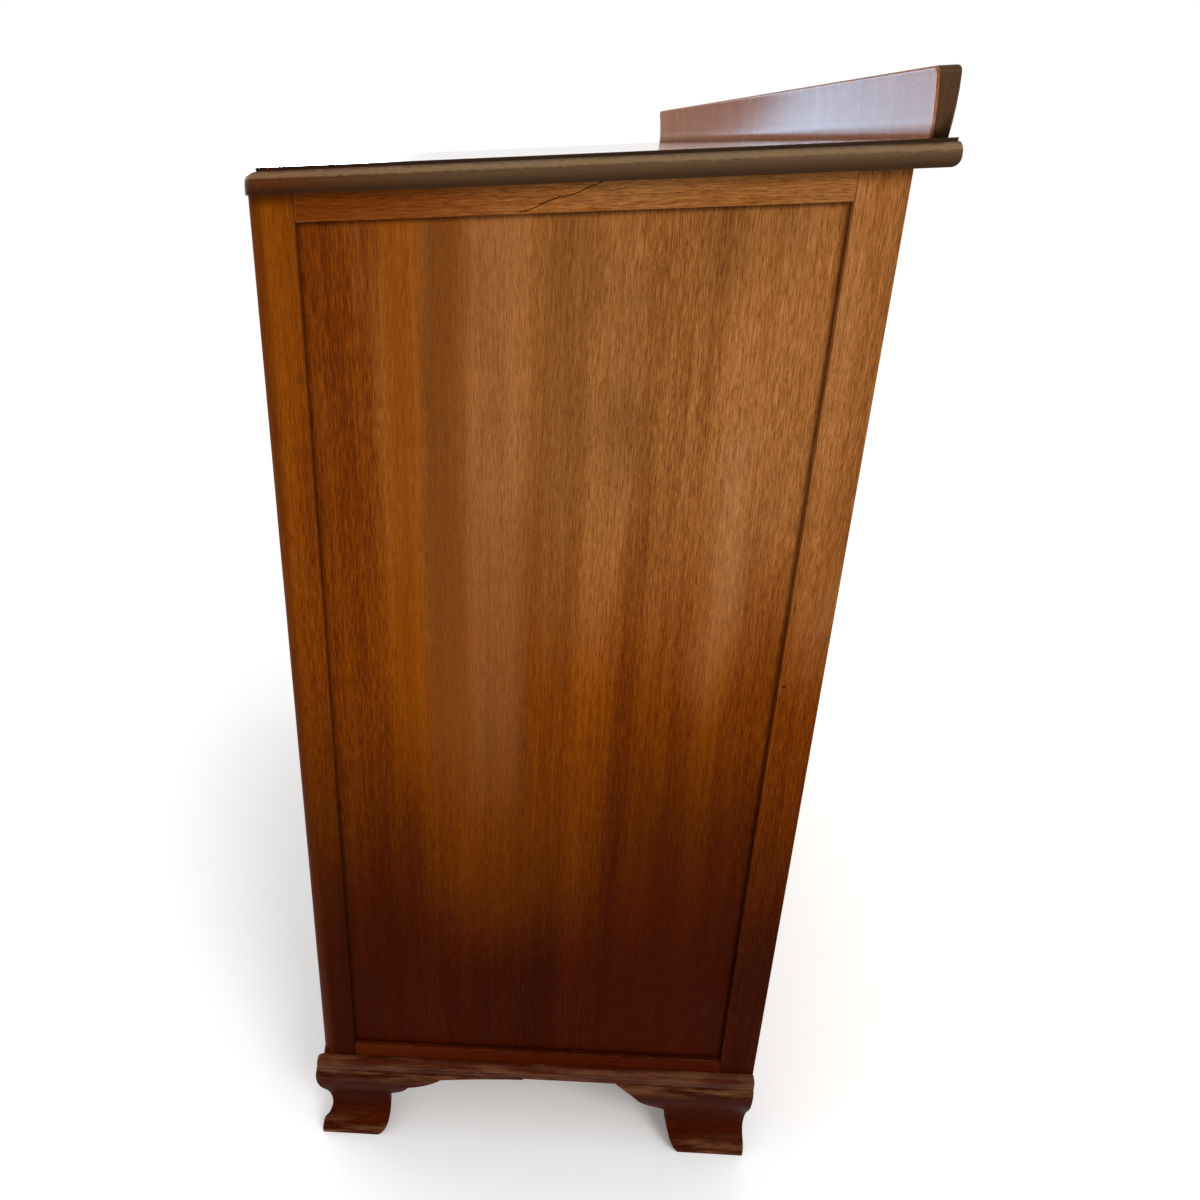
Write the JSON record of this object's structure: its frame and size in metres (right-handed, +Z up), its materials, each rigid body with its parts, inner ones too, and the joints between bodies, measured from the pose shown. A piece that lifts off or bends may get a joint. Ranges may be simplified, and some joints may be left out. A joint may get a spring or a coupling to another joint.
{
  "type": "chiffonier cupboard",
  "caption": "Mahogany cupboard with a long drawer over a pair of panelled doors, a raised back, framed sides and ogee bracket feet.",
  "frame": {"origin": "on the floor under the middle of the whole piece", "axes": "+Z up, the doors and drawer face -Y, +X to the right of someone facing them"},
  "size_m": [0.8794, 0.514, 1.085],
  "materials": {
    "frame_mahogany": "French polished, worn at the arrises",
    "panel_mahogany": "French polished, vertical straight grain with open pores",
    "top_mahogany": "high-gloss French polish",
    "base_mahogany": "dark polish with worn highlights",
    "pine": "planed and unpolished",
    "brass": "aged, lightly polished",
    "steel": "dull"
  },
  "bodies": {
    "carcass": {"left_front_stile": "frame_mahogany", "right_front_stile": "frame_mahogany", "left_rear_stile": "frame_mahogany", "right_rear_stile": "frame_mahogany", "left_side_rails": "frame_mahogany", "right_side_rails": "frame_mahogany", "left_side_panel": "panel_mahogany", "right_side_panel": "panel_mahogany", "top_board": "top_mahogany", "splashback": "top_mahogany", "splashback_screws": "steel", "back_boards": "pine", "back_top_rail": "pine", "floor_board": "pine", "front_top_rail": "frame_mahogany", "drawer_rail": "frame_mahogany", "front_bottom_rail": "frame_mahogany", "dust_board": "pine", "drawer_runners": "pine", "drawer_guides": "pine", "drawer_kickers": "pine", "drawer_stops": "pine", "upper_shelf": "pine", "lower_shelf": "pine", "shelf_bearers": "pine", "front_base_moulding": "base_mahogany", "left_base_moulding": "base_mahogany", "right_base_moulding": "base_mahogany", "front_left_foot": "base_mahogany", "front_right_foot": "base_mahogany", "rear_left_foot": "base_mahogany", "rear_right_foot": "base_mahogany", "foot_blocks": "pine", "hinge_frame_leaves": "brass", "hinge_pins": "brass"},
    "left_door": {"left_door_hinge_stile": "frame_mahogany", "left_door_meeting_stile": "frame_mahogany", "left_door_rails": "frame_mahogany", "left_door_panel": "panel_mahogany", "left_door_moulding": "frame_mahogany", "left_door_hinge_leaves": "brass", "bolt_plate": "brass"},
    "right_door": {"right_door_hinge_stile": "frame_mahogany", "right_door_meeting_stile": "frame_mahogany", "right_door_rails": "frame_mahogany", "right_door_panel": "panel_mahogany", "right_door_moulding": "frame_mahogany", "right_door_hinge_leaves": "brass", "latch_rose": "brass"},
    "bolt": {"door_bolt": "brass"},
    "latch": {"latch_knob": "brass", "latch_tongue": "brass"},
    "drawer": {"drawer_front": "panel_mahogany", "drawer_sides": "pine", "drawer_back": "pine", "drawer_bottom": "pine", "drawer_cock_beads": "frame_mahogany", "handle_posts": "brass"},
    "left_handle": {"left_bail": "brass"},
    "right_handle": {"right_bail": "brass"}
  },
  "joints": [
    {"name": "left_door_hinge", "type": "hinge", "parent": "carcass", "child": "left_door", "pos_m": [-0.407, -0.2305, 0.4985], "axis": [0, 0, -1], "range_deg": [0, 170]},
    {"name": "right_door_hinge", "type": "hinge", "parent": "carcass", "child": "right_door", "pos_m": [0.407, -0.2305, 0.4985], "axis": [0, 0, 1], "range_deg": [0, 170]},
    {"name": "bolt_slide", "type": "slide", "parent": "left_door", "child": "bolt", "axis": [0, 0, 1], "range_m": [0, 0.012]},
    {"name": "latch_turn", "type": "hinge", "parent": "right_door", "child": "latch", "pos_m": [0.02675, -0.23, 0.54], "axis": [0, 1, 0], "range_deg": [0, 90]},
    {"name": "drawer_slide", "type": "slide", "parent": "carcass", "child": "drawer", "axis": [0, -1, 0], "range_m": [0, 0.3]},
    {"name": "left_bail_swing", "type": "hinge", "parent": "drawer", "child": "left_handle", "pos_m": [-0.205, -0.243, 0.9527], "axis": [-1, 0, 0], "range_deg": [-12, 90]},
    {"name": "right_bail_swing", "type": "hinge", "parent": "drawer", "child": "right_handle", "pos_m": [0.205, -0.243, 0.9527], "axis": [-1, 0, 0], "range_deg": [-12, 90]}
  ]
}
